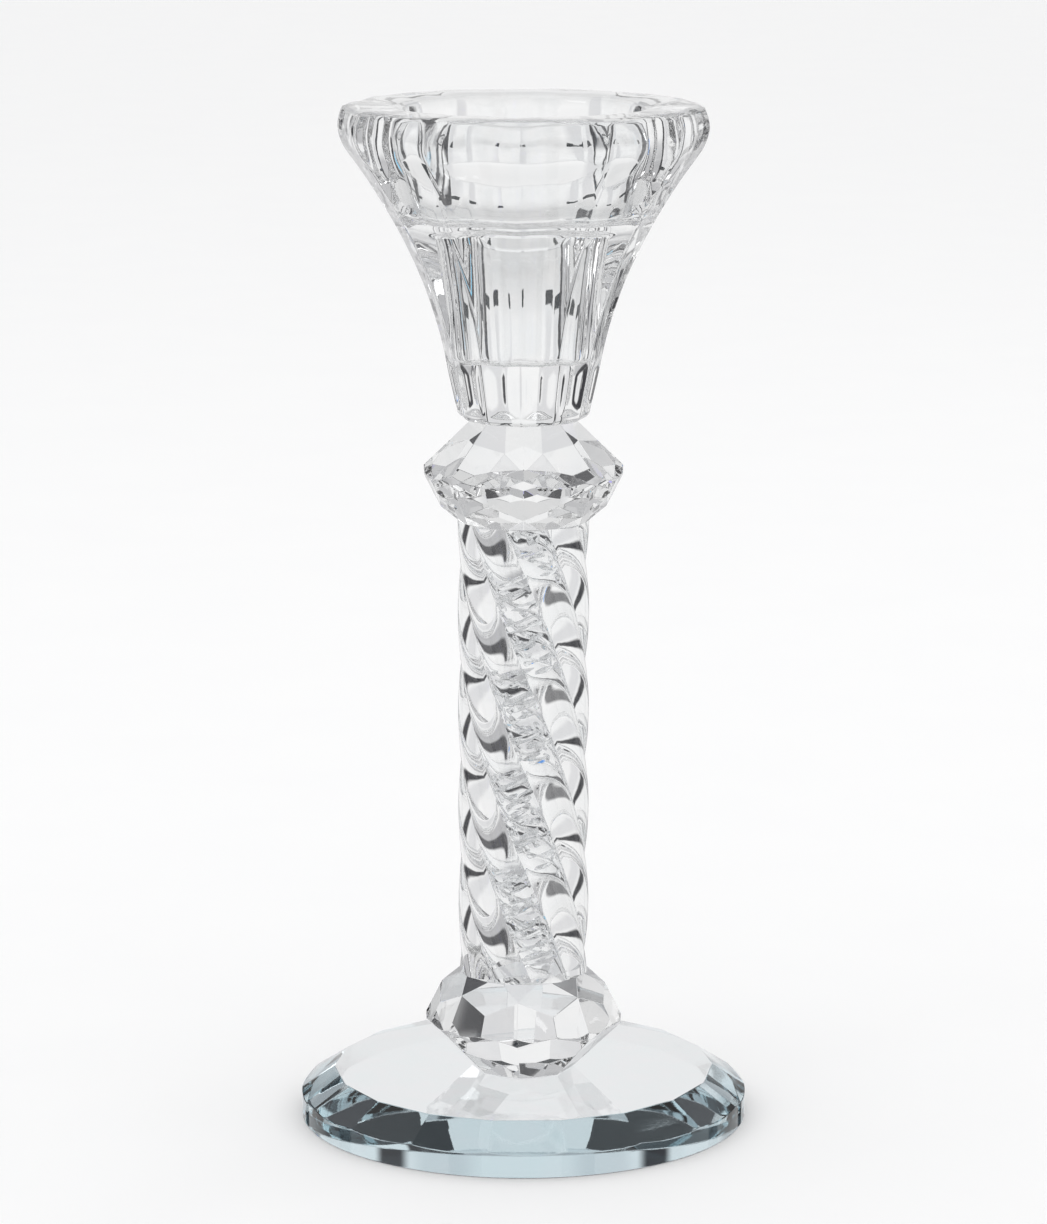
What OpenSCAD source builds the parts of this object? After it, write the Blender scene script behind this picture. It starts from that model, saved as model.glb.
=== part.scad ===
// Glass candlestick: a faceted round base, a cut knop, a twisted fluted stem tube filled with crushed
// crystal, a second cut knop turned upside down, and a panelled cup that takes a taper candle in its
// well or a tealight on its ledge. All the glass pieces are bonded with thin films of clear adhesive.
// Millimetres, +Z up, origin at the centre of the base's underside.

/* [Base] */
// Diameter of the round base
base_d = 89.2; // [72:0.2:110]
// Height of the base's upright edge, at the corners between facets
base_edge_h = 5; // [3:0.1:9]
// Height of the sloping facets above the edge
base_crown_h = 4.3; // [2:0.1:7]
// How far the corners of the flat top stand in from the base's edge
base_facet_run = 6.6; // [3:0.1:12]
// Number of sloping facets round the base
base_facets = 18; // [12:1:24]

/* [Knops] */
// Diameter of a knop at its girdle
knop_d = 39.2; // [32:0.2:50]
// Height of a knop from its seat to its table
knop_h = 20; // [16:0.1:26]
// Height of the girdle band, at the corners between facets
knop_girdle_h = 1.8; // [1:0.1:3]
// Height of the girdle's middle above the seat
knop_girdle_z = 10; // [7:0.1:14]
// Distance across the corners of the seat, at the point of the knop's plain side
knop_seat_d = 20.4; // [14:0.1:24]
// How far the flats of the table stand in from the stem's outside
knop_table_inset = 0.7; // [0:0.05:2]
// How far the star facets reach outward from the table
star_run = 4; // [2:0.1:6]
// Height of the star facets
star_h = 2.6; // [1.5:0.1:4]
// Depth of the kite facets' lower tips below the table
kite_h = 5.4; // [4.2:0.1:7]

/* [Stem] */
// Length of the stem tube
stem_h = 91.3; // [70:0.1:120]
// Diameter of the stem over its lobes
stem_d = 26; // [21:0.1:32]
// Number of lobes round the stem
stem_lobes = 8; // [6:1:10]
// Radius of one lobe's outer face
lobe_r = 4.3; // [3.8:0.1:5.5]
// Rounding in the grooves between lobes
groove_fillet = 0.4; // [0.1:0.05:0.8]
// Length over which the lobes make one full turn
stem_pitch = 158; // [90:1:400]
// Diameter of the bore through the stem
stem_bore_d = 12.6; // [9:0.1:16]

/* [Crystal filling] */
// Layers of chips along the stem
chip_layers = 24; // [12:12:36]
// Space left round each chip
chip_gap = 0.2; // [0.1:0.05:0.5]
// Most that a chip's broad faces lean from level, in degrees
chip_lean = 9; // [0:1:12]

/* [Cup] */
// Height of the cup
cup_h = 61.8; // [50:0.1:80]
// Distance across the rim's corners
cup_rim_d = 72.6; // [60:0.2:90]
// Number of panels round the cup, an even number
cup_panels = 12; // [8:2:16]
// Distance across the corners at the bottom of the foot
cup_foot_d = 26.4; // [20:0.1:32]
// Height of the solid foot
cup_foot_h = 10.7; // [8:0.1:16]
// Rounding of the foot's bottom edge
cup_foot_round = 2; // [1:0.1:3]
// Slope of the foot's sides, outward for each millimetre of height
cup_foot_slope = 0.18; // [0.05:0.01:0.3]
// Height of the rim bead
bead_h = 9; // [6:0.1:12]
// How far the rim bead bulges
bead_bulge = 1.4; // [0.5:0.1:2.5]
// Thickness of the rim at its corners
rim_wall = 12.6; // [9:0.1:16]
// Depth of the tealight cavity below the rim
cavity_depth = 21; // [15:0.1:26]
// How much narrower the cavity is at the bottom than at the mouth, on the radius
cavity_taper = 0.5; // [0.1:0.1:1.5]
// Fillet between the cavity's wall and its ledge
cavity_fillet = 2.4; // [1:0.1:4]
// Rounding of the cavity's mouth
lip_round = 1.2; // [0.5:0.1:2]

/* [Candle well] */
// Diameter of the taper candle the well is made for
candle_d = 22.2; // [19:0.1:24]
// Space round the candle in the well, on the radius
candle_clearance = 0.1; // [0.05:0.05:0.5]
// Depth of the well below the ledge
well_depth = 28.5; // [20:0.1:32]
// Chamfer at the mouth of the well
well_chamfer = 0.6; // [0.2:0.1:1.5]

/* [Joints] */
// Thickness of each film of adhesive
film_t = 0.12; // [0.05:0.01:0.3]
// How far each film stops short of the edge of the face it bonds
film_inset = 0.3; // [0.1:0.1:1]

/* [Turns] */
// Turn of the base about the upright axis, in degrees
base_turn = 1; // [-10:0.5:10]
// Turn of the lower knop
lower_knop_turn = -3.5; // [-22:0.5:22]
// Turn of the upper knop
upper_knop_turn = 0; // [-22:0.5:22]
// Turn of the stem's lobes at its foot
stem_turn = 31; // [0:0.5:45]
// Turn of the cup
cup_turn = 12.6; // [-15:0.1:15]

/* [Hidden] */
$fn = 96;

GLASS = [0.90, 0.94, 0.97, 0.45];
CRYSTAL = [0.86, 0.89, 0.93, 0.45];
BASE_GLASS = [0.80, 0.90, 0.95, 0.5];
CHIP = [0.97, 0.97, 0.99, 0.8];
ADHESIVE = [0.96, 0.96, 0.90, 0.6];

reach = 4 * base_d;
arc_steps = 4;
flare_steps = 12;
bead_steps = 4;

// Heights of the faces that meet, from the bottom up
base_h = base_edge_h + base_crown_h;
lower_knop_z = base_h + film_t;
lower_table_z = lower_knop_z + knop_h;
stem_z = lower_table_z + film_t;
stem_top_z = stem_z + stem_h;
upper_table_z = stem_top_z + film_t;
upper_seat_z = upper_table_z + knop_h;
cup_z = upper_seat_z + film_t;

// Knop
knop_r = knop_d / 2;
knop_stars = 8;
star_step = 360 / knop_stars;
table_flat_r = stem_d / 2 - knop_table_inset;
star_tip_r = table_flat_r + star_run;
star_tip_z = knop_h - star_h;
girdle_top_z = knop_girdle_z + knop_girdle_h / 2;
girdle_bottom_z = knop_girdle_z - knop_girdle_h / 2;
kite_tip_z = knop_h - kite_h;
kite_share = (star_tip_z - kite_tip_z) / (star_tip_z - girdle_top_z);
kite_tip_r = star_tip_r + (knop_r - star_tip_r) * kite_share;
seat_flat_r = knop_seat_d / 2 * cos(star_step / 2);

// Stem
stem_bore_r = stem_bore_d / 2;
lobe_centre_r = stem_d / 2 - lobe_r;
stem_twist = 360 * stem_h / stem_pitch;
stem_slices = 28;
stem_film_r = min(table_flat_r, lobe_centre_r + lobe_r / 2) - film_inset;

// Crystal filling
chip_sectors = 3;
chip_groups = 12;
chip_layers_per_group = chip_layers / chip_groups;
chip_layer_h = stem_h / chip_layers;
chip_cell_r = stem_bore_r - chip_gap;
chip_thickness = chip_layer_h * 0.86;
// Reach of a chip's side corners and nose corners, as shares of its cell's radius
chip_side_reach = 0.83;
chip_nose_reach = 0.92;
chip_reach_spread = 0.05;
// Half the width of a chip's nose, as a share of half its sector
chip_nose_share = 0.45;
chip_nose_spread = 0.1;
chip_break_reach = 0.9;
// Turn of each layer of chips past the one below
chip_layer_turn = 47;

// Cup
panel_cos = cos(180 / cup_panels);
rim_r = cup_rim_d / 2;
bead_edge_r = rim_r - bead_bulge;
waist_r = cup_foot_d / 2 + cup_foot_slope * cup_foot_h;
flare_h = cup_h - bead_h - cup_foot_h;
flare_curve = (bead_edge_r - waist_r - cup_foot_slope * flare_h) / pow(flare_h, 2);
mouth_r = rim_r - rim_wall;
cavity_r = mouth_r - cavity_taper;
ledge_z = cup_h - cavity_depth;
well_r = candle_d / 2 + candle_clearance;
cup_flat_r = (cup_foot_d / 2 - cup_foot_round) * panel_cos;

// Points along a quarter circle from angle a0 to a1
function quarter(x, z, r, a0, a1) =
    [for (k = [0 : arc_steps]) let (a = a0 + (a1 - a0) * k / arc_steps) [x + r * cos(a), z + r * sin(a)]];

// All the space behind one flat facet: the facet stands r_low from the axis at z_low, and r_high at z_high
module inside_facet(turn, r_low, z_low, r_high, z_high) {
    lean = atan2(r_high - r_low, z_high - z_low);
    rotate([0, 0, turn])
        translate([r_low, 0, z_low])
            rotate([0, lean, 0])
                translate([-reach, -reach / 2, -reach / 2])
                    cube(reach);
}

// The space inside a ring of facets whose ridges, between facets, have the radii given
module facet_ring(count, turn, ridge_low, z_low, ridge_high, z_high) {
    flat = cos(180 / count);
    intersection_for (k = [0 : count - 1])
        inside_facet(turn + k * 360 / count, ridge_low * flat, z_low, ridge_high * flat, z_high);
}

module base() {
    table_corner_r = base_d / 2 - base_facet_run;
    color(BASE_GLASS)
        intersection() {
            cylinder(d = base_d, h = base_h);
            facet_ring(base_facets, base_turn - 90, base_d / 2, base_edge_h, table_corner_r, base_h);
        }
}

// One knop, standing on its seat with its table on top
module knop() {
    ridge_flat = cos(star_step / 2);
    intersection() {
        cylinder(r = knop_r, h = knop_h);
        // plain side: eight broad facets
        facet_ring(knop_stars, star_step / 2, knop_seat_d / 2, 0, knop_r, girdle_bottom_z);
        // cut side: sixteen steep facets above the girdle
        facet_ring(2 * knop_stars, star_step / 4, knop_r, girdle_top_z, star_tip_r, star_tip_z);
        // kite facets, from the tips of the stars down to the ridges between them
        facet_ring(knop_stars, star_step / 2, kite_tip_r / ridge_flat, kite_tip_z, star_tip_r, star_tip_z);
        // star facets, next to the table
        facet_ring(knop_stars, 0, star_tip_r / ridge_flat, star_tip_z, table_flat_r / ridge_flat, knop_h);
    }
}

module lower_knop() {
    color(CRYSTAL)
        translate([0, 0, lower_knop_z])
            rotate([0, 0, lower_knop_turn])
                knop();
}

module upper_knop() {
    color(CRYSTAL)
        translate([0, 0, upper_seat_z])
            rotate([180, 0, upper_knop_turn])
                knop();
}

// Cross-section of the stem: round lobes about a solid core, with rounded grooves
module stem_section() {
    offset(r = -groove_fillet, $fn = 24)
        offset(delta = groove_fillet) {
            circle(r = lobe_centre_r, $fn = 32);
            for (k = [0 : stem_lobes - 1])
                rotate(k * 360 / stem_lobes)
                    translate([lobe_centre_r, 0])
                        circle(r = lobe_r, $fn = 20);
        }
}

module stem_tube() {
    color(GLASS)
        translate([0, 0, stem_z])
            difference() {
                rotate([0, 0, stem_turn])
                    linear_extrude(height = stem_h, twist = stem_twist, slices = stem_slices)
                        stem_section();
                translate([0, 0, -1])
                    cylinder(r = stem_bore_r, h = stem_h + 2);
            }
}

// Outline of one side of the cup, as ridge radius against height, from the bottom edge to the rim
function cup_side() = concat(
    quarter(cup_foot_d / 2 - cup_foot_round, cup_foot_round, cup_foot_round, -90, 0),
    [
        for (k = [0 : flare_steps])
            let (t = flare_h * k / flare_steps)
            [waist_r + cup_foot_slope * t + flare_curve * t * t, cup_foot_h + t]
    ],
    [
        for (k = [1 : 2 * bead_steps])
            let (u = k / bead_steps - 1)
            [rim_r - bead_bulge * u * u, cup_h - bead_h / 2 + bead_h / 2 * u]
    ]
);

// A slab with a pair of opposite panels of the cup as its sides
module panel_slab() {
    side = cup_side();
    last = len(side) - 1;
    right = [for (p = side) [p[0] * panel_cos, p[1]]];
    left = [for (k = [0 : last]) [-right[last - k][0], right[last - k][1]]];
    rotate([90, 0, 0])
        linear_extrude(height = reach, center = true)
            polygon(concat(right, left));
}

// The tealight cavity, open at the top
module cavity() {
    over_rim_z = cup_h + 1;
    rotate_extrude()
        polygon(concat(
            [[0, ledge_z]],
            quarter(cavity_r - cavity_fillet, ledge_z + cavity_fillet, cavity_fillet, -90, 0),
            quarter(mouth_r + lip_round, cup_h - lip_round, lip_round, 180, 90),
            [[mouth_r + lip_round, over_rim_z], [0, over_rim_z]]
        ));
}

// The taper candle's well, open into the cavity
module candle_well() {
    translate([0, 0, ledge_z - well_depth])
        cylinder(r = well_r, h = well_depth + 1);
    translate([0, 0, ledge_z - well_chamfer])
        cylinder(r1 = well_r, r2 = well_r + 2 * well_chamfer, h = 2 * well_chamfer);
}

module candle_cup() {
    color(GLASS)
        translate([0, 0, cup_z])
            difference() {
                rotate([0, 0, cup_turn])
                    intersection_for (k = [0 : cup_panels / 2 - 1])
                        rotate([0, 0, k * 360 / cup_panels])
                            panel_slab();
                cavity();
                candle_well();
            }
}

// A round film of adhesive, with a hole where the stem's bore is
module film(z, r, hole_r) {
    color(ADHESIVE)
        translate([0, 0, z])
            difference() {
                cylinder(r = r, h = film_t);
                if (hole_r > 0)
                    translate([0, 0, -1])
                        cylinder(r = hole_r, h = film_t + 2);
            }
}

module base_adhesive() {
    film(base_h, seat_flat_r - film_inset, 0);
}

module stem_foot_adhesive() {
    film(lower_table_z, stem_film_r, stem_bore_r + film_inset);
}

module stem_top_adhesive() {
    film(stem_top_z, stem_film_r, stem_bore_r + film_inset);
}

module cup_adhesive() {
    film(upper_seat_z, min(seat_flat_r, cup_flat_r) - film_inset, 0);
}

// One chip of crushed crystal: a wedge of the bore with leaning faces. The seed picks its shape.
module chip(seed) {
    draw = rands(-1, 1, 6, seed);
    half = 180 / chip_sectors;
    side_r = chip_cell_r * (chip_side_reach + chip_reach_spread * draw[0]);
    nose_r = chip_cell_r * (chip_nose_reach + chip_reach_spread * draw[1]);
    nose = half * (chip_nose_share + chip_nose_spread * draw[2]);
    inset = chip_gap / 2 / sin(half);
    intersection() {
        translate([inset, 0, chip_gap / 2])
            linear_extrude(height = chip_layer_h - chip_gap)
                polygon([
                    [0, 0],
                    [side_r * cos(half), -side_r * sin(half)],
                    [nose_r * cos(nose), -nose_r * sin(nose)],
                    [nose_r * cos(nose), nose_r * sin(nose)],
                    [side_r * cos(half), side_r * sin(half)]
                ]);
        // two leaning broad faces
        translate([chip_cell_r / 2, 0, chip_layer_h / 2])
            rotate([chip_lean * draw[3], chip_lean * draw[4], 0])
                cube([reach, reach, chip_thickness], center = true);
        // a leaning break across the nose
        translate([chip_cell_r * chip_break_reach, 0, chip_layer_h / 2])
            rotate([0, 2 * chip_lean * draw[5], 3 * chip_lean * draw[0]])
                translate([-reach, -reach / 2, -reach / 2])
                    cube(reach);
    }
}

// Two layers of chips, the group's share of the filling
module chip_group(group) {
    color(CHIP)
        for (layer = [0 : chip_layers_per_group - 1], sector = [0 : chip_sectors - 1]) {
            level = group * chip_layers_per_group + layer;
            seed = level * chip_sectors + sector + 1;
            translate([0, 0, stem_z + level * chip_layer_h])
                rotate([0, 0, level * chip_layer_turn + sector * 360 / chip_sectors])
                    chip(seed);
        }
}

base();
lower_knop();
stem_tube();
upper_knop();
candle_cup();
base_adhesive();
stem_foot_adhesive();
stem_top_adhesive();
cup_adhesive();
chip_group(0);  // crystal_chips_01
chip_group(1);  // crystal_chips_02
chip_group(2);  // crystal_chips_03
chip_group(3);  // crystal_chips_04
chip_group(4);  // crystal_chips_05
chip_group(5);  // crystal_chips_06
chip_group(6);  // crystal_chips_07
chip_group(7);  // crystal_chips_08
chip_group(8);  // crystal_chips_09
chip_group(9);  // crystal_chips_10
chip_group(10);  // crystal_chips_11
chip_group(11);  // crystal_chips_12
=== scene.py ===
"""Looks of a glass candlestick: cut base and knops, twisted stem full of crushed crystal, pressed cup."""

import logging
import math
import random
from collections.abc import Callable
from dataclasses import dataclass
from enum import Enum

import bmesh
import bpy
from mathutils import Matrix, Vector


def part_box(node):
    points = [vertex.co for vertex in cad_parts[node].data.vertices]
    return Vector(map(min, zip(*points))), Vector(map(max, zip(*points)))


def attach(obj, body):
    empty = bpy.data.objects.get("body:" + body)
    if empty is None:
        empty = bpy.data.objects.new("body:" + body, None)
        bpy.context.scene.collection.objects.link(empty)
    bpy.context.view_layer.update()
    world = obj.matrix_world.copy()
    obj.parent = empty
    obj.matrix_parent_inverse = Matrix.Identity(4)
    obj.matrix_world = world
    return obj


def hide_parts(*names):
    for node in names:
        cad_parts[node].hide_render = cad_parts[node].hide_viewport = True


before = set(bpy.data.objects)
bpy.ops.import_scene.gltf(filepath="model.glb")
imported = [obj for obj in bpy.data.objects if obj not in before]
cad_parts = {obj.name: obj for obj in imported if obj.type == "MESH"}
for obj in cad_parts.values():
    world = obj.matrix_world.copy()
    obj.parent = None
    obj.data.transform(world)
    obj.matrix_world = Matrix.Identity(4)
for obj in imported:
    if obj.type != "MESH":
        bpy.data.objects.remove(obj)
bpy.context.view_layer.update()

LOG = logging.getLogger("candlestick")
MM = 0.001
ORIGIN = (0.0, 0.0, 0.0)
ROUND_SIDES = 96
FACET_SMOOTHING = 4.0
Point = tuple[float, float, float]
Colour = tuple[float, float, float]


class Slot(Enum):
    """Names of the material slots."""

    BASE = "base_glass"
    CRYSTAL = "cut_crystal"
    PRESSED = "pressed_glass"
    CHIPS = "crystal_chips"
    ADHESIVE = "clear_adhesive"


class NodeGraph:
    """Short ways to add and link nodes in one node tree."""

    def __init__(self, tree: bpy.types.NodeTree) -> None:
        """Take over a tree and empty it.

        Args:
            tree: The node tree to fill.
        """
        self.tree = tree
        tree.nodes.clear()

    def add(self, kind: str, **inputs: object) -> bpy.types.Node:
        """Add a node and set or link its inputs.

        Args:
            kind: Type name of the node.
            inputs: Input names with underscores for spaces, each a value or a socket to link.

        Returns:
            The new node.
        """
        node = self.tree.nodes.new(kind)
        for name, value in inputs.items():
            self.put(node, name.replace("_", " "), value)
        return node

    def put(self, node: bpy.types.Node, name: str | int, value: object) -> None:
        """Set one input of a node, or link a socket to it.

        Args:
            node: The node.
            name: Name or number of the input.
            value: A plain value, or the socket that feeds the input.
        """
        if isinstance(value, bpy.types.NodeSocket):
            self.tree.links.new(value, node.inputs[name])
        else:
            node.inputs[name].default_value = value

    def math(self, operation: str, a: object, b: object = 0.0) -> bpy.types.NodeSocket:
        """Work out a sum on one or two numbers.

        Args:
            operation: Name of the math operation.
            a: First value or socket.
            b: Second value or socket.

        Returns:
            The result's socket.
        """
        node = self.tree.nodes.new("ShaderNodeMath")
        node.operation = operation
        self.put(node, 0, a)
        self.put(node, 1, b)
        return node.outputs[0]

    def mix(self, share: object, first: object, second: object) -> bpy.types.NodeSocket:
        """Mix two colours.

        Args:
            share: How much of the second colour there is, as a number or a socket.
            first: First colour or socket.
            second: Second colour or socket.

        Returns:
            The result's socket.
        """
        node = self.tree.nodes.new("ShaderNodeMix")
        node.data_type = "RGBA"
        for slot, item in ((0, share), (6, first), (7, second)):
            self.put(node, slot, item)
        return node.outputs[2]

    def ramp(
        self, value: object, low: float, high: float, to_low: float, to_high: float
    ) -> bpy.types.NodeSocket:
        """Map a value smoothly from one range to another.

        Args:
            value: The value or socket to map.
            low: Start of the range it comes from.
            high: End of the range it comes from.
            to_low: Result at the start.
            to_high: Result at the end.

        Returns:
            The result's socket.
        """
        node = self.tree.nodes.new("ShaderNodeMapRange")
        node.interpolation_type = "SMOOTHSTEP"
        names = ("Value", "From Min", "From Max", "To Min", "To Max")
        for name, item in zip(names, (value, low, high, to_low, to_high)):
            self.put(node, name, item)
        return node.outputs[0]


@dataclass(frozen=True)
class GlassFinish:
    """A clear glass, with slow waves and fine marks in its surface."""

    name: str
    ior: float = 1.5
    tint: Colour = (1.0, 1.0, 1.0)
    dark_tint: Colour = (0.97, 0.98, 0.985)
    roughness_low: float = 0.0
    roughness_high: float = 0.02
    wave_size: float = 6 * MM
    wave_depth: float = 0.02 * MM
    mark_size: float = 0.6 * MM
    mark_depth: float = 0.001 * MM
    body_colour: Colour | None = None
    body_density: float = 0.0

    def make(self) -> bpy.types.Material:
        """Build the material.

        Returns:
            The finished material.
        """
        material = bpy.data.materials.new(self.name)
        material.use_nodes = True
        graph = NodeGraph(material.node_tree)
        place = graph.add("ShaderNodeTexCoord").outputs["Object"]
        wave = graph.add(
            "ShaderNodeTexNoise", Vector=place, Scale=1 / self.wave_size, Detail=3.0, Roughness=0.5
        )
        mark = graph.add(
            "ShaderNodeTexNoise", Vector=place, Scale=1 / self.mark_size, Detail=6.0, Roughness=0.65
        )
        waves = graph.add(
            "ShaderNodeBump", Strength=1.0, Distance=self.wave_depth, Height=wave.outputs["Fac"]
        )
        marks = graph.add(
            "ShaderNodeBump",
            Strength=1.0,
            Distance=self.mark_depth,
            Height=mark.outputs["Fac"],
            Normal=waves.outputs[0],
        )
        cloud = graph.ramp(wave.outputs["Fac"], 0.35, 0.65, 0.0, 1.0)
        colour = graph.mix(cloud, (*self.dark_tint, 1.0), (*self.tint, 1.0))
        worn = graph.ramp(mark.outputs["Fac"], 0.55, 0.8, self.roughness_low, self.roughness_high)
        body = graph.add(
            "ShaderNodeBsdfPrincipled", IOR=self.ior, Transmission_Weight=1.0, Metallic=0.0
        )
        graph.put(body, "Base Color", colour)
        graph.put(body, "Roughness", worn)
        graph.put(body, "Normal", marks.outputs[0])
        output = graph.add("ShaderNodeOutputMaterial", Surface=body.outputs[0])
        if self.body_colour:
            depth = graph.add(
                "ShaderNodeVolumeAbsorption", Color=(*self.body_colour, 1.0), Density=self.body_density
            )
            graph.put(output, "Volume", depth.outputs[0])
        return material


@dataclass(frozen=True)
class FloorFinish:
    """A pale matt board."""

    name: str = "pale_board"
    colour: Colour = (0.95, 0.95, 0.95)
    shade: Colour = (0.93, 0.93, 0.935)
    roughness: float = 0.7
    grain_size: float = 40 * MM

    def make(self) -> bpy.types.Material:
        """Build the material.

        Returns:
            The finished material.
        """
        material = bpy.data.materials.new(self.name)
        material.use_nodes = True
        graph = NodeGraph(material.node_tree)
        place = graph.add("ShaderNodeTexCoord").outputs["Object"]
        grain = graph.add("ShaderNodeTexNoise", Vector=place, Scale=1 / self.grain_size, Detail=2.0)
        colour = graph.mix(grain.outputs["Fac"], (*self.shade, 1.0), (*self.colour, 1.0))
        body = graph.add("ShaderNodeBsdfPrincipled", Roughness=self.roughness)
        graph.put(body, "Base Color", colour)
        graph.put(body, "Specular IOR Level", 0.2)
        graph.add("ShaderNodeOutputMaterial", Surface=body.outputs[0])
        return material


class Workpiece:
    """One mesh under work, from a primitive to a finished piece."""

    def __init__(self, name: str) -> None:
        """Take over the primitive that was just added, and start to edit it.

        Args:
            name: The piece's name.
        """
        self.obj = bpy.context.active_object
        self.obj.name = name
        self.obj.data.name = name
        bpy.ops.object.transform_apply(location=True, rotation=True, scale=True)
        bpy.ops.object.mode_set(mode="EDIT")
        bpy.ops.mesh.select_all(action="SELECT")

    @classmethod
    def cylinder(cls, name: str, sides: int, radius: float, low: float, high: float) -> "Workpiece":
        """Start from an upright cylinder.

        Args:
            name: The piece's name.
            sides: Number of sides.
            radius: Radius over the corners.
            low: Height of the underside.
            high: Height of the top.

        Returns:
            The piece, in edit mode.
        """
        bpy.ops.object.select_all(action="DESELECT")
        bpy.ops.mesh.primitive_cylinder_add(
            vertices=sides, radius=radius, depth=high - low, location=(0, 0, (low + high) / 2)
        )
        return cls(name)

    @classmethod
    def cube(cls, name: str, size: float) -> "Workpiece":
        """Start from a cube about the origin.

        Args:
            name: The piece's name.
            size: Length of its edges.

        Returns:
            The piece, in edit mode.
        """
        bpy.ops.object.select_all(action="DESELECT")
        bpy.ops.mesh.primitive_cube_add(size=size)
        return cls(name)

    def cut(self, point: Vector, normal: Vector) -> None:
        """Cut off all that lies outside a plane, and close the cut.

        Args:
            point: A point on the plane.
            normal: The plane's direction, towards what is cut off.
        """
        bpy.ops.mesh.select_all(action="SELECT")
        bpy.ops.mesh.bisect(plane_co=point, plane_no=normal.normalized(), use_fill=True, clear_outer=True)

    def cut_facets(self, count: int, turn: float, low: Vector, high: Vector) -> None:
        """Cut a ring of flat facets.

        Args:
            count: Number of facets.
            turn: Direction of the first facet, in degrees.
            low: Ridge radius and height at the facets' lower edge.
            high: Ridge radius and height at their upper edge.
        """
        flat = math.cos(math.pi / count)
        run, rise = (high[0] - low[0]) * flat, high[1] - low[1]
        for k in range(count):
            angle = math.radians(turn + k * 360 / count)
            out = Vector((math.cos(angle), math.sin(angle), 0))
            self.cut(out * low[0] * flat + Vector((0, 0, low[1])), out * rise - Vector((0, 0, run)))

    def ease_edges(self, width: float, segments: int = 2, sharpness: float = 7.0) -> None:
        """Take the sharpness off the edges.

        Args:
            width: Width of the rounding.
            segments: Number of faces across it.
            sharpness: Least angle of an edge that is rounded, in degrees.
        """
        bpy.ops.mesh.select_all(action="SELECT")
        bpy.ops.mesh.remove_doubles(threshold=0.004 * MM)
        bpy.ops.mesh.select_all(action="DESELECT")
        bpy.ops.mesh.select_mode(type="EDGE")
        bpy.ops.mesh.edges_select_sharp(sharpness=math.radians(sharpness))
        bpy.ops.mesh.bevel(offset=width, segments=segments, affect="EDGES", clamp_overlap=True)
        bpy.ops.mesh.select_mode(type="VERT")

    def close(self, smooth_below: float = 30.0) -> bpy.types.Object:
        """Leave edit mode with merged points, outward faces and smooth shading below an angle.

        Args:
            smooth_below: Edges flatter than this many degrees are shaded smooth.

        Returns:
            The finished object.
        """
        bpy.ops.mesh.select_all(action="SELECT")
        bpy.ops.mesh.remove_doubles(threshold=0.002 * MM)
        bpy.ops.mesh.normals_make_consistent(inside=False)
        bpy.ops.object.mode_set(mode="OBJECT")
        bpy.ops.object.shade_smooth_by_angle(angle=math.radians(smooth_below))
        return self.obj


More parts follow.
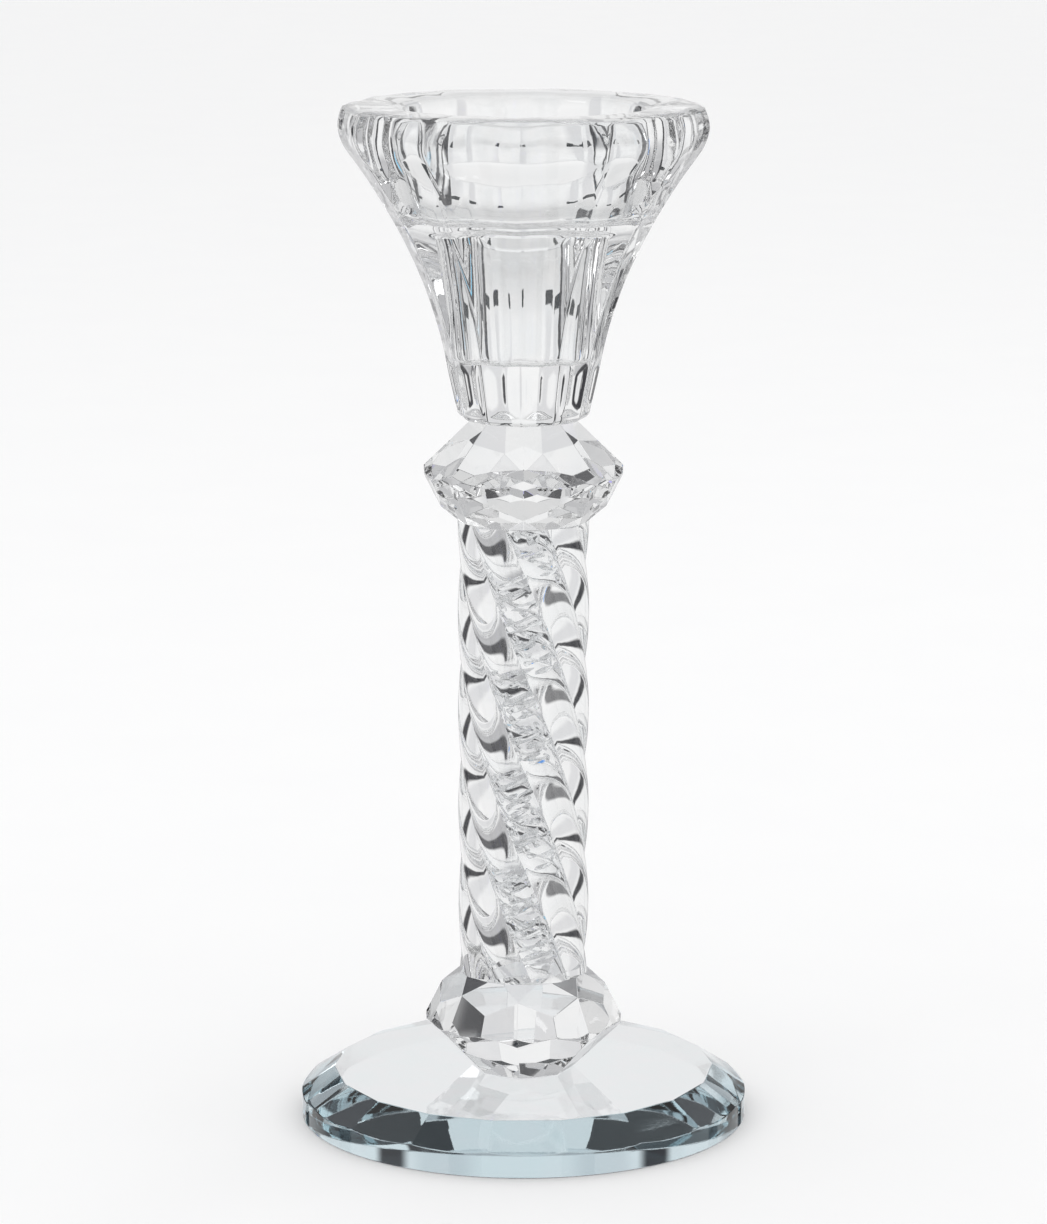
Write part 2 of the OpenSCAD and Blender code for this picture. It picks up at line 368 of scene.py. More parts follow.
class Loft(Workpiece):
    """A body drawn up ring by ring, whose section repeats round it."""

    @classmethod
    def start(
        cls, name: str, repeats: int, per_side: int, corner: float, radius: float, height: float
    ) -> "Loft":
        """Start from a ring of straight sides, each cut into short edges.

        Args:
            name: The piece's name.
            repeats: Number of sides.
            per_side: Number of edges along each side.
            corner: Rounding of the corners, for a ring of radius 1. None at 0.
            radius: Radius over the corners.
            height: Height of the first ring.

        Returns:
            The piece, in edit mode with its ring selected.
        """
        bpy.ops.object.select_all(action="DESELECT")
        bpy.ops.mesh.primitive_circle_add(vertices=repeats, radius=1.0)
        loft = cls(name)
        loft.repeats = repeats
        loft.turn = 0.0
        if corner:
            bpy.ops.mesh.bevel(offset=corner, segments=4, affect="VERTICES", clamp_overlap=False)
            bpy.ops.mesh.select_all(action="DESELECT")
            mesh = bmesh.from_edit_mesh(loft.obj.data)
            long = max(e.calc_length() for e in mesh.edges)
            for edge in mesh.edges:
                edge.select_set(edge.calc_length() > 0.6 * long)
            bmesh.update_edit_mesh(loft.obj.data)
        bpy.ops.mesh.subdivide(number_cuts=per_side - 1)
        bpy.ops.mesh.select_all(action="SELECT")
        bpy.ops.transform.resize(value=(radius, radius, 1), center_override=ORIGIN)
        bpy.ops.transform.translate(value=(0, 0, height))
        loft.radius, loft.height = radius, height
        loft.form = loft._measure()
        loft.plain = dict(loft.form)
        return loft

    def _key(self, co: Vector) -> float:
        """Place of a point across its side, from 0 at a corner to 0.5 at the middle.

        Args:
            co: The point.

        Returns:
            The place.
        """
        share = (math.degrees(math.atan2(co.y, co.x)) - self.turn) * self.repeats / 360 % 1.0
        return round(min(share, 1 - share), 3)

    def _ring(self) -> list[bmesh.types.BMVert]:
        """The points of the ring that is selected.

        Returns:
            The points.
        """
        return [v for v in bmesh.from_edit_mesh(self.obj.data).verts if v.select]

    def _measure(self) -> dict[float, float]:
        """Radius of each place across a side, as a share of the ring's radius.

        Returns:
            Share of the radius for each place.
        """
        return {self._key(v.co): math.hypot(v.co.x, v.co.y) / self.radius for v in self._ring()}

    def reshape(self, wanted: Callable[[float], float]) -> None:
        """Bring the ring that is selected to another section.

        Args:
            wanted: Gives the share of the ring's radius for a place across a side.
        """
        for key, now in list(self.form.items()):
            factor = wanted(key) / now
            if abs(factor - 1) < 1e-5:
                continue
            ring = self._ring()
            for vert in ring:
                vert.select_set(self._key(vert.co) == key)
            bpy.ops.transform.resize(value=(factor, factor, 1), center_override=ORIGIN)
            for vert in ring:
                vert.select_set(True)
            self.form[key] = wanted(key)
        bmesh.from_edit_mesh(self.obj.data).select_flush(True)
        bmesh.update_edit_mesh(self.obj.data)

    def draw(self, radius: float, height: float, turn: float = 0.0) -> None:
        """Draw a new ring out of the last one.

        Args:
            radius: Radius of the new ring over its corners.
            height: Its height.
            turn: How far it is turned past the last one, in degrees.
        """
        bpy.ops.mesh.extrude_region_move(TRANSFORM_OT_translate={"value": (0, 0, height - self.height)})
        factor = radius / self.radius
        bpy.ops.transform.resize(value=(factor, factor, 1), center_override=ORIGIN)
        if turn:
            self.turn_picked(turn)
            self.turn += turn
        self.radius, self.height = radius, height

    def turn_picked(self, turn: float) -> None:
        """Turn what is selected about the upright axis.

        Args:
            turn: Angle in degrees, anticlockwise from above.
        """
        bpy.ops.transform.rotate(value=math.radians(-turn), orient_axis="Z", center_override=ORIGIN)

    def close_centre(self) -> None:
        """Close the last ring at its centre."""
        bpy.ops.mesh.merge(type="CENTER")

    def pick_ring(self, height: float, radius: float) -> None:
        """Select one ring of points.

        Args:
            height: The ring's height.
            radius: Most that its points stand from the axis.
        """
        bpy.ops.mesh.select_all(action="DESELECT")
        mesh = bmesh.from_edit_mesh(self.obj.data)
        for vert in mesh.verts:
            near = abs(vert.co.z - height) < 1e-6 and math.hypot(vert.co.x, vert.co.y) < radius + 1e-6
            vert.select_set(near)
        mesh.select_flush(True)
        bmesh.update_edit_mesh(self.obj.data)


class Waves:
    """Slow unevenness of glass that was shaped hot."""

    @staticmethod
    def apply(
        obj: bpy.types.Object, size: float, depth: float, above: float | None = None, fade: float = 1.0
    ) -> None:
        """Push an object's surface in and out.

        Args:
            obj: The object.
            size: Length of the waves.
            depth: Height of the waves.
            above: Height from which they act, or None for all of the object.
            fade: Height over which they set in.
        """
        texture = bpy.data.textures.new(obj.name + "_waves", "CLOUDS")
        texture.noise_scale = size
        texture.noise_depth = 1
        change = obj.modifiers.new("waves", "DISPLACE")
        change.texture = texture
        change.texture_coords = "LOCAL"
        change.strength = depth
        change.mid_level = 0.5
        if above is not None:
            group = obj.vertex_groups.new(name="waves")
            for vert in obj.data.vertices:
                share = min(1.0, max(0.0, (vert.co.z - above) / fade))
                group.add([vert.index], share, "REPLACE")
            change.vertex_group = group.name
        bpy.ops.object.select_all(action="DESELECT")
        obj.select_set(True)
        bpy.context.view_layer.objects.active = obj
        bpy.ops.object.modifier_apply(modifier=change.name)


def dress(obj: bpy.types.Object, material: bpy.types.Material, slot: Slot, *nodes: str) -> None:
    """Give a piece its finish and its place in the assembly.

    Args:
        obj: The piece.
        material: Its finish.
        slot: Not used.
        nodes: The nodes it stands for.
    """
    obj.data.materials.clear()
    obj.data.materials.append(material)
    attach(obj, "root")
    if nodes:
        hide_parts(*nodes)
    LOG.info("%s: %d faces", obj.name, len(obj.data.polygons))


@dataclass
class RoundBase:
    """The round base with its ring of sloping facets."""

    node: str = "base"
    facets: int = 18
    turn: float = -89.0
    edge_height: float = 5.0 * MM
    facet_run: float = 6.6 * MM
    edge_rounding: float = 0.12 * MM
    disc_sides: int = 180
    finish: GlassFinish = GlassFinish(
        "thick_base_glass",
        ior=1.52,
        wave_depth=0.002 * MM,
        mark_depth=0.0004 * MM,
        roughness_high=0.01,
        tint=(1.0, 0.975, 0.985),
        body_colour=(0.52, 0.76, 0.83),
        body_density=8.0,
    )

    def build(self) -> None:
        """Cut the base from a disc and dress it."""
        low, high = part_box(self.node)
        radius = high.x
        piece = Workpiece.cylinder("round_base", self.disc_sides, radius, low.z, high.z)
        piece.cut_facets(
            self.facets,
            self.turn,
            Vector((radius, low.z + self.edge_height)),
            Vector((radius - self.facet_run, high.z)),
        )
        piece.ease_edges(self.edge_rounding)
        dress(piece.close(FACET_SMOOTHING), self.finish.make(), Slot.BASE, self.node)


@dataclass
class Knop:
    """One cut knop: a plain cone on the seat's side, stars and kites on the table's side."""

    node: str
    turn: float
    table_up: bool
    stars: int = 8
    seat_radius: float = 10.2 * MM
    girdle_height: float = 10.0 * MM
    girdle_band: float = 1.8 * MM
    table_flat: float = 12.3 * MM
    star_run: float = 4.0 * MM
    star_height: float = 2.6 * MM
    kite_height: float = 5.4 * MM
    edge_rounding: float = 0.07 * MM

    def build(self, material: bpy.types.Material) -> None:
        """Cut the knop from a cylinder and dress it.

        Args:
            material: The finish.
        """
        low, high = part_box(self.node)
        way = 1 if self.table_up else -1
        seat = low.z if self.table_up else high.z
        radius, height = high.x, high.z - low.z
        flat = math.cos(math.pi / self.stars)
        step = 360 / self.stars
        tip = self.table_flat + self.star_run

        def at(ridge: float, rise: float) -> Vector:
            """A ridge radius and the height it stands at.

            Args:
                ridge: The radius.
                rise: Height from the seat, towards the table.

            Returns:
                Radius and height.
            """
            return Vector((ridge, seat + way * rise))

        piece = Workpiece.cylinder(self.node + "_cut", ROUND_SIDES, radius, low.z, high.z)
        band_low = self.girdle_height - self.girdle_band / 2
        band_high = self.girdle_height + self.girdle_band / 2
        tip_rise, kite_rise = height - self.star_height, height - self.kite_height
        kite_tip = tip + (radius - tip) * (tip_rise - kite_rise) / (tip_rise - band_high)
        rings = (
            (self.stars, step / 2, at(self.seat_radius, 0), at(radius, band_low)),
            (2 * self.stars, step / 4, at(radius, band_high), at(tip, tip_rise)),
            (self.stars, step / 2, at(kite_tip / flat, kite_rise), at(tip, tip_rise)),
            (self.stars, 0.0, at(tip / flat, tip_rise), at(self.table_flat / flat, height)),
        )
        for count, first, start, end in rings:
            lower, upper = (start, end) if self.table_up else (end, start)
            piece.cut_facets(count, self.turn + first, lower, upper)
        piece.ease_edges(self.edge_rounding)
        dress(piece.close(FACET_SMOOTHING), material, Slot.CRYSTAL, self.node)


@dataclass
class StemTube:
    """The tube with eight twisted lobes outside and a plain bore."""

    node: str = "stem_tube"
    lobes: int = 8
    lobe_radius: float = 4.3 * MM
    groove_fill: float = 0.04 * MM
    foot_turn: float = 31.0
    twist_length: float = 158.0 * MM
    crest_radius: float = 13.0 * MM
    bore_radius: float = 6.3 * MM
    slices: int = 76
    per_lobe: int = 16

    def _section(self, radius: float) -> Callable[[float], float]:
        """The lobed outline.

        Args:
            radius: Radius over the lobes.

        Returns:
            Gives the share of the radius for a place across a lobe, counted from its crest.
        """
        centre = radius - self.lobe_radius
        widest = math.pi / self.lobes

        def share(place: float) -> float:
            """Radius at one place, as a share.

            Args:
                place: From 0 at the crest to 0.5 in the groove.

            Returns:
                The share.
            """
            angle = place * 2 * widest
            across = math.sqrt(self.lobe_radius**2 - (centre * math.sin(angle)) ** 2)
            reach = centre * math.cos(angle) + across
            fill = self.groove_fill * max(0.0, place - 0.4) / 0.1
            return (reach + fill) / radius

        return share

    def build(self, material: bpy.types.Material) -> None:
        """Draw the tube up, turn it as it rises, bore it, and dress it.

        Args:
            material: The finish.
        """
        low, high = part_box(self.node)
        radius = self.crest_radius
        middle, inside = 0.85 * radius, 0.6 * radius
        outline = self._section(radius)
        tube = Loft.start("twisted_stem", self.lobes, self.per_lobe, 0.0, radius, low.z)
        tube.reshape(outline)
        step = (high.z - low.z) / self.slices
        twist = -360 * (high.z - low.z) / self.twist_length / self.slices
        for k in range(self.slices):
            tube.draw(radius, low.z + step * (k + 1), twist)
        tube.draw(middle, high.z)
        tube.draw(inside, high.z)
        bore = self.bore_radius / inside
        tube.reshape(lambda place: bore)
        for k in range(self.slices):
            tube.draw(inside, high.z - step * (k + 1), -twist)
        tube.draw(middle, low.z)
        tube.reshape(outline)
        tube.draw(radius, low.z)
        bpy.ops.mesh.select_all(action="SELECT")
        bpy.ops.mesh.remove_doubles(threshold=0.002 * MM)
        tube.turn_picked(self.foot_turn)
        obj = tube.close(40.0)
        dress(obj, material, Slot.PRESSED, self.node)


@dataclass
class CrushedCrystal:
    """The broken crystal that fills the stem's bore."""

    groups: int = 12
    models: int = 16
    chip_radius: float = 1.22 * MM
    spacing: float = 2.3 * MM
    wall_gap: float = 0.06 * MM
    bore_radius: float = 6.3 * MM
    tries: int = 9000
    seed: int = 7
    finish: GlassFinish = GlassFinish(
        "broken_crystal",
        ior=1.5,
        wave_size=0.8 * MM,
        wave_depth=0.02 * MM,
        mark_size=0.2 * MM,
        mark_depth=0.003 * MM,
        roughness_low=0.0,
        roughness_high=0.08,
    )

    def _model(self, number: int, draw: random.Random) -> bpy.types.Object:
        """Break one chip out of a cube.

        Args:
            number: The model's number.
            draw: Source of the chances.

        Returns:
            The chip, about the origin.
        """
        piece = Workpiece.cube(f"chip_model_{number:02d}", 2.4 * self.chip_radius)
        for _ in range(draw.randint(9, 13)):
            way = Vector((draw.gauss(0, 1), draw.gauss(0, 1), draw.gauss(0, 1))).normalized()
            piece.cut(way * self.chip_radius * draw.uniform(0.5, 0.95), way)
        mesh = bmesh.from_edit_mesh(piece.obj.data)
        reach = max(v.co.length for v in mesh.verts)
        size = self.chip_radius / reach
        bpy.ops.mesh.select_all(action="SELECT")
        bpy.ops.transform.resize(value=(size, size, size), center_override=ORIGIN)
        return piece.close(1.0)

    def _places(self, low: float, high: float, draw: random.Random) -> list[Vector]:
        """Find room for the chips in the bore.

        Args:
            low: Height of the filling's bottom.
            high: Height of its top.
            draw: Source of the chances.

        Returns:
            Centres of the chips.
        """
        found: list[Vector] = []
        cells: dict[int, list[Vector]] = {}
        reach = self.bore_radius - self.wall_gap - self.chip_radius
        edge = self.chip_radius + 0.05 * MM
        for _ in range(self.tries):
            angle, out = draw.uniform(0, 2 * math.pi), reach * math.sqrt(draw.random())
            rise = draw.uniform(low + edge, high - edge)
            spot = Vector((out * math.cos(angle), out * math.sin(angle), rise))
            level = int(spot.z / self.spacing)
            near = [p for k in (level - 1, level, level + 1) for p in cells.get(k, [])]
            if all((p - spot).length > self.spacing for p in near):
                found.append(spot)
                cells.setdefault(level, []).append(spot)
        return found

    def build(self) -> None:
        """Break the chips, pack them into the bore and dress each group."""
        draw = random.Random(self.seed)
        material = self.finish.make()
        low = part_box("stem_tube")[0].z
        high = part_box("stem_tube")[1].z
        models = [self._model(k, draw) for k in range(self.models)]
        places = self._places(low, high, draw)
        share = (high - low) / self.groups
        for group in range(self.groups):
            bpy.ops.object.select_all(action="DESELECT")
            chips = []
            for spot in places:
                if int((spot.z - low) / share) != group:
                    continue
                model = draw.choice(models)
                chip = model.copy()
                chip.data = model.data.copy()
                chip.location = spot
                chip.rotation_euler = [draw.uniform(0, 2 * math.pi) for _ in range(3)]
                bpy.context.collection.objects.link(chip)
                chip.select_set(True)
                chips.append(chip)
            bpy.context.view_layer.objects.active = chips[0]
            bpy.ops.object.join()
            bpy.ops.object.transform_apply(location=True, rotation=True, scale=True)
            pile = bpy.context.active_object
            pile.name = f"crushed_crystal_{group + 1:02d}"
            pile.data.name = pile.name
            dress(pile, material, Slot.CHIPS, f"crystal_chips_{group + 1:02d}")
        for model in models:
            bpy.data.objects.remove(model)


@dataclass
class CandleCup:
    """The pressed cup: panelled outside, with a thick rim, a cavity and a candle well."""

    node: str = "candle_cup"
    panels: int = 12
    corner_turn: float = 27.6
    corner_rounding: float = 0.03
    per_panel: int = 9
    foot_radius: float = 13.2 * MM
    foot_round: float = 2.0 * MM
    foot_height: float = 10.7 * MM
    waist_radius: float = 15.126 * MM
    slope: float = 0.18
    bead_height: float = 9.0 * MM
    bead_bulge: float = 1.4 * MM
    rim_radius: float = 36.3 * MM
    flute_depth: float = 0.035
    mouth_radius: float = 23.7 * MM
    cavity_radius: float = 23.2 * MM
    cavity_depth: float = 21.0 * MM
    cavity_fillet: float = 2.4 * MM
    well_radius: float = 11.2 * MM
    well_depth: float = 28.5 * MM
    well_chamfer: float = 0.6 * MM
    top_clearance: float = 0.27 * MM

    def _outer(self, height: float) -> list[tuple[float, float]]:
        """Ridge radius and local height of the rings up the outside.

        Args:
            height: Height of the cup.

        Returns:
            The rings, from the foot's edge to the top of the rim.
        """
        rings = []
        for k in range(5):
            angle = math.radians(-90 + 22.5 * k)
            rings.append(
                (
                    self.foot_radius - self.foot_round * (1 - math.cos(angle)),
                    self.foot_round * (1 + math.sin(angle)),
                )
            )
        for k in range(1, 9):
            share = k / 8
            rings.append(
                (
                    self.foot_radius + (self.waist_radius - self.foot_radius) * share,
                    self.foot_round + (self.foot_height - self.foot_round) * share,
                )
            )
        flare = height - self.bead_height - self.foot_height
        edge = self.rim_radius - self.bead_bulge
        curve = (edge - self.waist_radius - self.slope * flare) / flare**2
        for k in range(1, 22):
            rise = flare * k / 21
            radius = self.waist_radius + self.slope * rise + curve * rise**2
            rings.append((radius, self.foot_height + rise))
        half = self.bead_height / 2
        for k in range(1, 12):
            place = k / 6 - 1
            rings.append((self.rim_radius - self.bead_bulge * place**2, height - half + half * place))
        return rings

    def build(self, material: bpy.types.Material) -> None:
        """Draw the cup from the middle of its foot, up, over the rim and down into the well.

        Args:
            material: The finish.
        """
        low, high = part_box(self.node)
        height = high.z - low.z
        cup = Loft.start("panelled_cup", self.panels, self.per_panel, self.corner_rounding, 0.4 * MM, low.z)
        plain = dict(cup.plain)

        def section(flute: float = 0.0, roundness: float = 0.0) -> Callable[[float], float]:
            """A panelled outline.

            Args:
                flute: Depth of the hollow in each panel, as a share of the radius.
                roundness: From 0, flat panels, to 1, a circle.

            Returns:
                Gives the share of the radius for a place across a panel.
            """

            def share(place: float) -> float:
                """Radius at one place, as a share.

                Args:
                    place: From 0 at a corner to 0.5 at the panel's middle.

                Returns:
                    The share.
                """
                flat = plain[place]
                hollow = flute * math.sin(math.pi * min(0.5, max(0.0, place - 0.08) / 0.84)) ** 0.8
                return flat + (1 - flat) * roundness - hollow

            return share

        for radius in (4 * MM, 8 * MM):
            cup.draw(radius, low.z)
        for radius, rise in self._outer(height):
            cup.draw(radius, low.z + min(rise, height - self.top_clearance))
            set_in = min(1.0, max(0.0, (rise - 2.0 * MM) / (1.6 * MM)))
            set_out = 1.0 if rise < self.foot_height + 0.1 * MM else 0.0
            cup.reshape(section(self.flute_depth * set_in * set_out))
        top = high.z - self.top_clearance
        crest = self.rim_radius - self.bead_bulge
        inner = self.mouth_radius + 1.6 * MM
        for share, drop, roundness in (
            (0.0, 0.28, 0.0),
            (0.06, 0.06, 0.02),
            (0.14, 0.0, 0.05),
            (0.4, 0.0, 0.1),
            (0.7, 0.0, 0.2),
            (0.88, 0.12, 0.3),
        ):
            cup.draw(crest - 0.2 * MM - (crest - 0.2 * MM - inner) * share, top - drop * MM)
            cup.reshape(section(0.0, roundness))
        for radius, drop, roundness in (
            (self.mouth_radius + 0.9 * MM, 0.5, 0.4),
            (self.mouth_radius + 0.25 * MM, 1.3, 0.5),
            (self.mouth_radius, 2.4, 0.6),
            (self.mouth_radius - 0.1 * MM, 5.0, 0.8),
        ):
            cup.draw(radius, top - drop * MM)
            cup.reshape(section(0.0, roundness))
        ledge = high.z - self.cavity_depth
        for k in range(1, 6):
            share = k / 5
            cup.draw(
                self.mouth_radius - 0.1 * MM + (self.cavity_radius - self.mouth_radius + 0.1 * MM) * share,
                top - 5 * MM - (top - 5 * MM - ledge - self.cavity_fillet) * share,
            )
            cup.reshape(section(0.0, min(1.0, 0.8 + 0.1 * k)))
        for k in range(1, 6):
            angle = math.radians(18 * k)
            cup.draw(
                self.cavity_radius - self.cavity_fillet * (1 - math.cos(angle)),
                ledge + self.cavity_fillet * (1 - math.sin(angle)),
            )
        for radius in (18 * MM, 15 * MM, 13 * MM, self.well_radius + self.well_chamfer + 0.15 * MM):
            cup.draw(radius, ledge)
        cup.draw(self.well_radius + 0.1 * MM, ledge - self.well_chamfer)
        for k in range(0, 15):
            cup.draw(self.well_radius, ledge - 1.0 * MM - (self.well_depth - 2.0 * MM) * k / 14)
        floor = ledge - self.well_depth
        for k in range(1, 5):
            angle = math.radians(22.5 * k)
            cup.draw(
                self.well_radius - 1.0 * MM * (1 - math.cos(angle)),
                floor + 1.0 * MM * (1 - math.sin(angle)),
            )
        for radius in (8 * MM, 5 * MM, 2.5 * MM, 0.4 * MM):
            cup.draw(radius, floor)
        cup.close_centre()
        cup.pick_ring(low.z, 0.45 * MM)
        cup.close_centre()
        bpy.ops.mesh.select_all(action="SELECT")
        cup.turn_picked(self.corner_turn)
        obj = cup.close(50.0)
        Waves.apply(obj, 7 * MM, 0.5 * MM, above=high.z - 12 * MM, fade=6 * MM)
        Waves.apply(obj, 9 * MM, 0.12 * MM)
        dress(obj, material, Slot.PRESSED, self.node)


@dataclass
class AdhesiveFilm:
    """A thin film of clear adhesive between two pieces."""

    node: str
    bore: float = 0.0
    gap: float = 0.02 * MM

    def build(self, material: bpy.types.Material) -> None:
        """Dress the film.

        Args:
            material: The finish.
        """
        low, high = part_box(self.node)
        name = self.node + "_bead"
        piece = Workpiece.cylinder(name, ROUND_SIDES, high.x, low.z + self.gap, high.z - self.gap)
        if self.bore:
            bpy.ops.mesh.select_all(action="DESELECT")
            bpy.ops.mesh.select_mode(type="FACE")
            mesh = bmesh.from_edit_mesh(piece.obj.data)
            for face in mesh.faces:
                face.select_set(abs(face.normal.z) > 0.9)
            bmesh.update_edit_mesh(piece.obj.data)
            bpy.ops.mesh.inset(thickness=high.x - self.bore)
            bpy.ops.mesh.bridge_edge_loops()
            bpy.ops.mesh.select_mode(type="VERT")
        dress(piece.close(30.0), material, Slot.ADHESIVE, self.node)


@dataclass(frozen=True)
class Card:
    """A dark or coloured card in front of the boards. Its places and its fade are in degrees."""

    azimuth: float
    half_width: float
    low: float
    high: float
    colour: Colour
    fade: float = 0.7


@dataclass
class Studio:
    """Floor, surroundings, lights and camera."""

    camera_place: Point = (0.0, -0.913676, 0.286032)
    camera_tilt: float = 78.6314
    focal_length: float = 138.65
    floor_gap: float = 0.15 * MM
    fill_light: float = 1.04
    backdrop_light: float = 0.904
    sky: tuple[tuple[float, float], ...] = (
        (-90, 0.65),
        (-30, 0.8),
        (-9, 0.93),
        (9, 0.93),
        (24, 0.72),
        (90, 0.6),
    )
    cards: tuple[Card, ...] = (
        Card(180, 22, -90, 90, (0.5, 0.5, 0.51), 14.0),
        Card(104, 10, -90, 90, (0.5, 0.5, 0.51), 9.0),
        Card(-66, 7, -90, 90, (0.5, 0.5, 0.51), 8.0),
        Card(38, 9, 12, 90, (0.5, 0.5, 0.51), 8.0),
        Card(-36, 6, 12, 90, (0.52, 0.52, 0.53), 6.0),
        Card(15, 3, -60, 12, (0.74, 0.74, 0.75), 5.0),
        Card(-15, 3, -60, 12, (0.74, 0.74, 0.75), 5.0),
        Card(20, 11, 15.4, 18.6, (0.012, 0.017, 0.021), 0.5),
        Card(-20, 11, 15.4, 18.6, (0.012, 0.017, 0.021), 0.5),
        Card(27, 2.2, -60, 60, (0.03, 0.03, 0.035), 3.0),
        Card(-27, 2.2, -60, 60, (0.03, 0.03, 0.035), 3.0),
        Card(-74, 3.5, -60, 60, (0.1, 0.1, 0.105), 3.0),
        Card(64, 3, -60, 60, (0.22, 0.22, 0.225), 3.0),
        Card(152, 8, -30, 50, (0.04, 0.04, 0.045), 1.5),
        Card(-150, 8, -30, 50, (0.06, 0.06, 0.065), 1.5),
        Card(-58, 5, 4, 45, (0.05, 0.05, 0.055), 1.5),
        Card(50, 3, 8, 45, (0.1, 0.1, 0.11), 1.5),
        Card(58, 1.5, 2, 9, (0.02, 0.3, 0.9), 0.5),
        Card(-68, 1.2, 8, 30, (0.25, 0.7, 1.0), 0.5),
        Card(172, 1.2, 4, 40, (0.45, 0.4, 0.95), 0.5),
    )

    def _stand_card(
        self,
        graph: NodeGraph,
        card: Card,
        round_it: bpy.types.NodeSocket,
        rise: bpy.types.NodeSocket,
        behind: bpy.types.NodeSocket,
    ) -> bpy.types.NodeSocket:
        """Stand one card in front of what is there already.

        Args:
            graph: The nodes of the surroundings.
            card: The card.
            round_it: Angle round, 0 behind the piece.
            rise: Angle above the floor.
            behind: Colour of what it stands in front of.

        Returns:
            The new colour.
        """
        fade = math.radians(card.fade)
        away = graph.math("SUBTRACT", round_it, math.radians(card.azimuth))
        turned = graph.tree.nodes.new("ShaderNodeMath")
        turned.operation = "WRAP"
        graph.put(turned, 0, away)
        graph.put(turned, 1, math.pi)
        graph.put(turned, 2, -math.pi)
        aside = graph.math("ABSOLUTE", turned.outputs[0])
        half = math.radians(card.half_width)
        near = graph.ramp(aside, half, half + fade, 1.0, 0.0)
        over = graph.ramp(rise, math.radians(card.low) - fade, math.radians(card.low), 0.0, 1.0)
        under = graph.ramp(rise, math.radians(card.high), math.radians(card.high) + fade, 1.0, 0.0)
        mask = graph.math("MULTIPLY", graph.math("MULTIPLY", near, over), under)
        return graph.mix(mask, behind, (*card.colour, 1.0))

    def build_world(self) -> None:
        """Surroundings: white boards and dark cards all round, which only glass shows."""
        world = bpy.data.worlds.new("studio")
        bpy.context.scene.world = world
        world.use_nodes = True
        graph = NodeGraph(world.node_tree)
        way = graph.add("ShaderNodeTexCoord").outputs["Generated"]
        split = graph.add("ShaderNodeSeparateXYZ", Vector=way)
        rise = graph.math("ARCSINE", split.outputs["Z"])
        round_it = graph.math("ARCTAN2", split.outputs["X"], split.outputs["Y"])
        share = graph.math("ADD", graph.math("DIVIDE", rise, math.pi), 0.5)
        boards = graph.add("ShaderNodeValToRGB", Fac=share)
        stops = boards.color_ramp.elements
        for height, _ in self.sky[1:-1]:
            stops.new(height / 180 + 0.5)
        for stop, (_, level) in zip(stops, self.sky):
            stop.color = (level, level, level, 1.0)
        colour = boards.outputs[0]
        for card in self.cards:
            colour = self._stand_card(graph, card, round_it, rise, colour)
        seen = graph.add("ShaderNodeBackground", Color=colour, Strength=1.0)
        plain = graph.add("ShaderNodeBackground", Color=(1, 1, 1, 1), Strength=self.fill_light)
        path = graph.add("ShaderNodeLightPath")
        lit = graph.tree.nodes.new("ShaderNodeMixShader")
        graph.put(lit, 0, path.outputs["Is Diffuse Ray"])
        graph.put(lit, 1, seen.outputs[0])
        graph.put(lit, 2, plain.outputs[0])
        backdrop = graph.add("ShaderNodeBackground", Color=(1, 1, 1, 1), Strength=self.backdrop_light)
        pick = graph.tree.nodes.new("ShaderNodeMixShader")
        graph.put(pick, 0, path.outputs["Is Camera Ray"])
        graph.put(pick, 1, lit.outputs[0])
        graph.put(pick, 2, backdrop.outputs[0])
        graph.add("ShaderNodeOutputWorld", Surface=pick.outputs[0])

    def build_floor(self) -> None:
        """Lay the pale board."""
        bpy.ops.object.select_all(action="DESELECT")
        bpy.ops.mesh.primitive_plane_add(size=24.0, location=(0, 0, -self.floor_gap))
        floor = bpy.context.active_object
        floor.name = "floor"
        floor.data.materials.append(FloorFinish().make())
        floor.visible_transmission = False
        floor.visible_glossy = False

    def build_lights(self) -> None:
        """Hang the soft lights."""
        for name, place, size, power in (
            ("overhead", (0.0, 0.1, 1.5), 0.8, 1.2),
            ("left_front", (-0.9, -0.7, 1.0), 0.25, 0.4),
            ("right_back", (0.9, 0.8, 0.9), 0.25, 0.4),
        ):
            data = bpy.data.lights.new(name, "AREA")
            data.size = size
            data.energy = power
            light = bpy.data.objects.new(name, data)
            light.location = place
            aim = Vector((0, 0, 0.1)) - Vector(place)
            light.rotation_euler = aim.to_track_quat("-Z", "Y").to_euler()
            bpy.context.collection.objects.link(light)

    def build_camera(self) -> None:
        """Set the camera up."""
        data = bpy.data.cameras.new("camera")
        data.lens = self.focal_length
        data.sensor_width = 36.0
        data.clip_start, data.clip_end = 0.05, 20.0
        camera = bpy.data.objects.new("camera", data)
        camera.location = self.camera_place
        camera.rotation_euler = (math.radians(self.camera_tilt), 0.0, 0.0)
        bpy.context.collection.objects.link(camera)
        bpy.context.scene.camera = camera

    def build(self) -> None:
        """Set the whole studio up."""
        self.build_world()
        self.build_floor()
        self.build_lights()
        self.build_camera()
        scene = bpy.context.scene
        scene.view_settings.view_transform = "Standard"
        scene.cycles.max_bounces = 32
        scene.cycles.transmission_bounces = 32
        scene.cycles.glossy_bounces = 16
        scene.cycles.transparent_max_bounces = 16
        scene.cycles.sample_clamp_indirect = 6.0
        LOG.info("studio: ready")


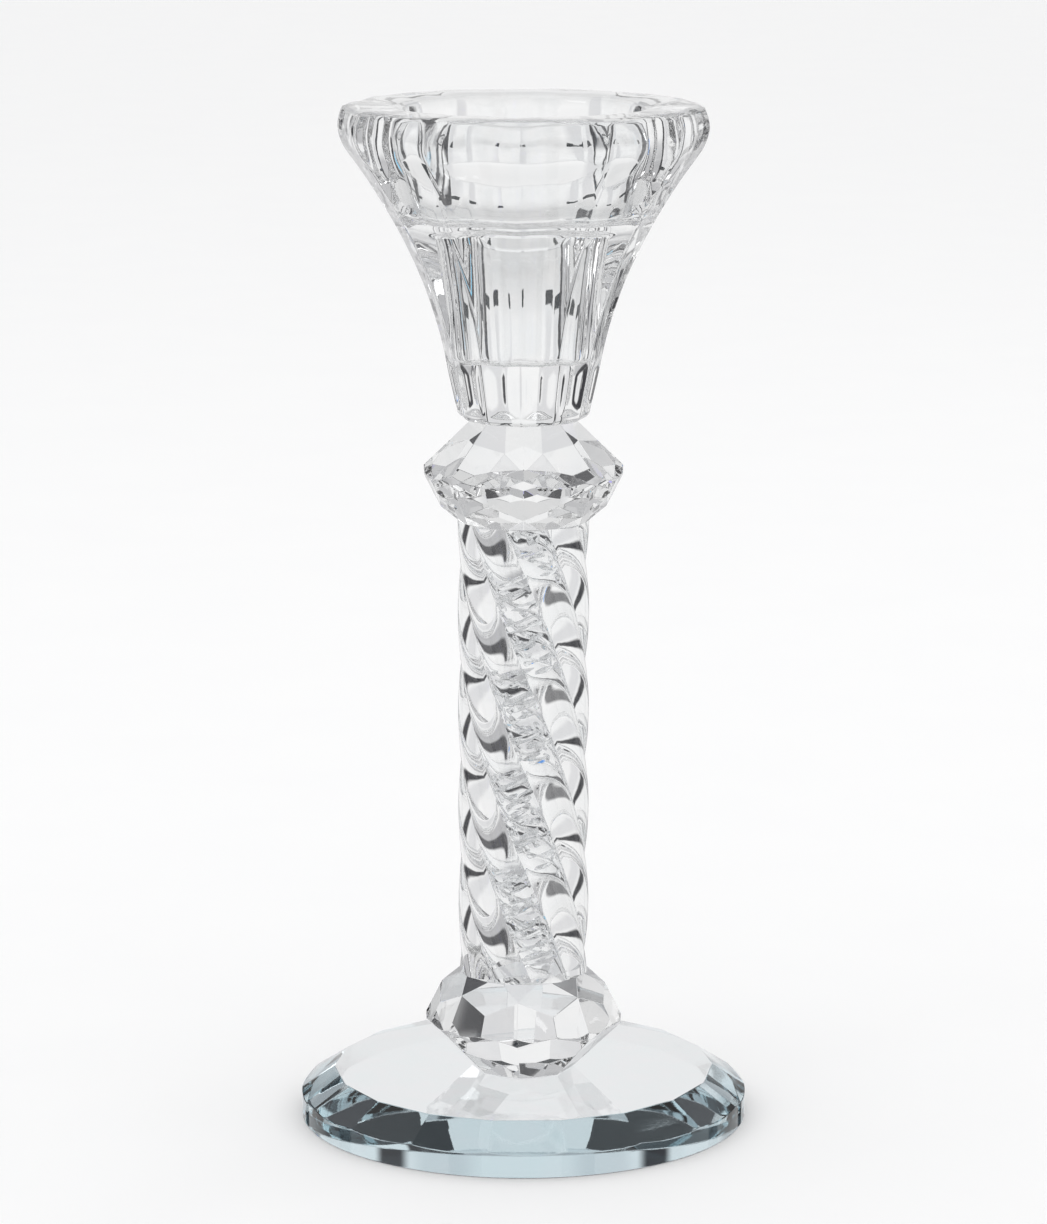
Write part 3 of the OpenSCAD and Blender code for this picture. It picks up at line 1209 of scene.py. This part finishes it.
def main() -> None:
    """Build the candlestick piece by piece, then the studio round it."""
    logging.basicConfig(level=logging.INFO, format="%(message)s")
    pressed = GlassFinish("fire_polished_glass", wave_depth=0.03 * MM).make()
    crystal = GlassFinish(
        "polished_crystal", ior=1.54, wave_depth=0.001 * MM, mark_depth=0.0003 * MM, roughness_high=0.01
    ).make()
    adhesive = GlassFinish(
        "cured_adhesive", ior=1.45, wave_size=2 * MM, wave_depth=0.004 * MM, dark_tint=(0.95, 0.95, 0.93)
    ).make()
    RoundBase().build()
    Knop("lower_knop", -3.5, True).build(crystal)
    Knop("upper_knop", 0.0, False).build(crystal)
    StemTube().build(pressed)
    CrushedCrystal().build()
    CandleCup().build(pressed)
    for film in (
        AdhesiveFilm("base_adhesive"),
        AdhesiveFilm("stem_foot_adhesive", 6.6 * MM),
        AdhesiveFilm("stem_top_adhesive", 6.6 * MM),
        AdhesiveFilm("cup_adhesive"),
    ):
        film.build(adhesive)
    Studio().build()


if __name__ == "__main__":
    main()
